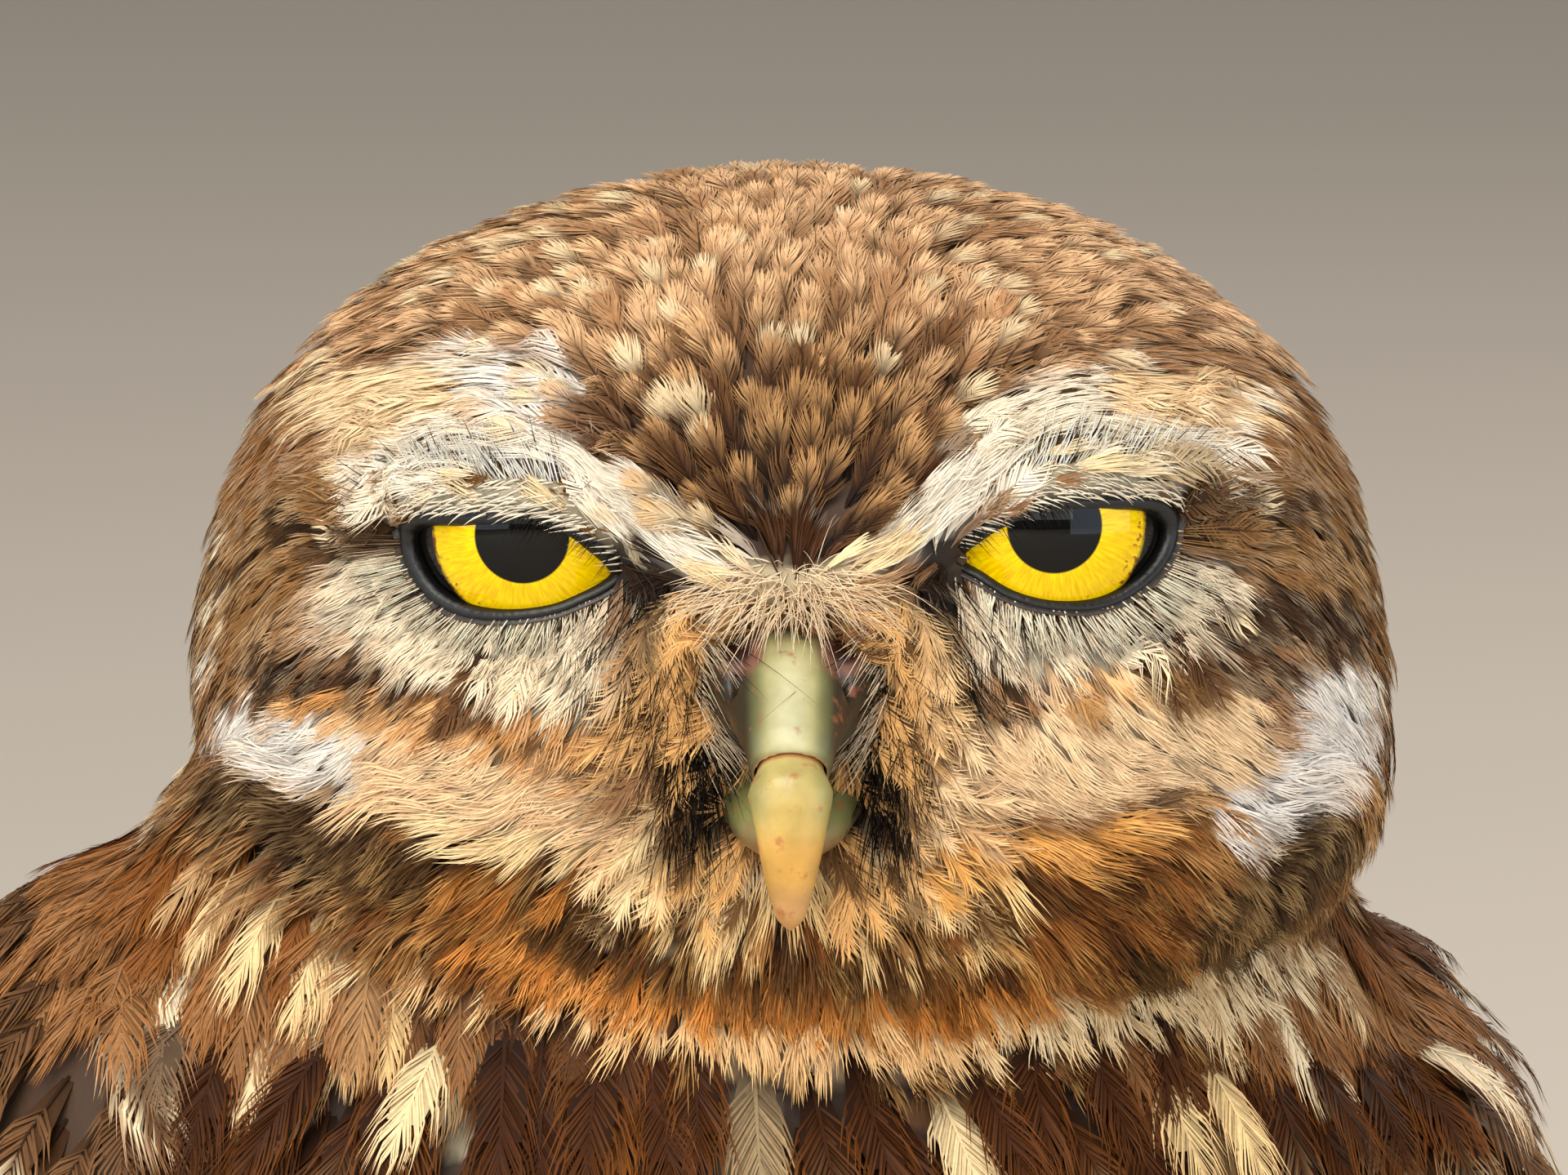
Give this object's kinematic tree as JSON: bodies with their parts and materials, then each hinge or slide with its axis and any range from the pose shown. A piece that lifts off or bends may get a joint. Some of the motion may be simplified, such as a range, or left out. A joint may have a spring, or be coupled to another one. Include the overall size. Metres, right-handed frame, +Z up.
{
  "type": "burrowing owl",
  "caption": "Standing burrowing owl, whole, with its head sunk between the shoulders and turned to the viewer, half-closed yellow eyes and folded wings.",
  "frame": {"origin": "on the floor, under the middle of the bird's bounding box", "axes": "+Z up; the face looks along -Y; +X is the bird's left"},
  "size_m": [0.1054, 0.1042, 0.2057],
  "materials": {
    "head_plumage": "soft feathers, brown with buff spots, white brows and throat",
    "mantle_plumage": "soft feathers, brown with cream spots",
    "breast_plumage": "soft feathers, cream barred with brown",
    "wing_feathers": "smooth vanes, brown with cream spots and bars",
    "tail_feathers": "smooth vanes, brown with buff bars",
    "leg_plumage": "short hair-like feathers, cream",
    "bill_horn": "horn, yellowish, satin",
    "cere_skin": "soft greenish skin, satin",
    "toe_skin": "scaly grey-brown skin",
    "claw_horn": "dark horn, polished",
    "eye": "wet cornea over a bright yellow iris"
  },
  "bodies": {
    "root": {"head": "head_plumage", "neck": "mantle_plumage", "torso": "breast_plumage", "bill_upper": "bill_horn", "bill_lower": "bill_horn", "cere": "cere_skin", "tail": "tail_feathers", "eye_left": "eye", "wing_left": "wing_feathers", "thigh_left": "leg_plumage", "shank_left": "leg_plumage", "foot_left": "toe_skin", "claw_hind_left": "claw_horn", "claw_inner_left": "claw_horn", "claw_middle_left": "claw_horn", "claw_outer_left": "claw_horn", "eye_right": "eye", "wing_right": "wing_feathers", "thigh_right": "leg_plumage", "shank_right": "leg_plumage", "foot_right": "toe_skin", "claw_hind_right": "claw_horn", "claw_inner_right": "claw_horn", "claw_middle_right": "claw_horn", "claw_outer_right": "claw_horn"}
  },
  "joints": []
}
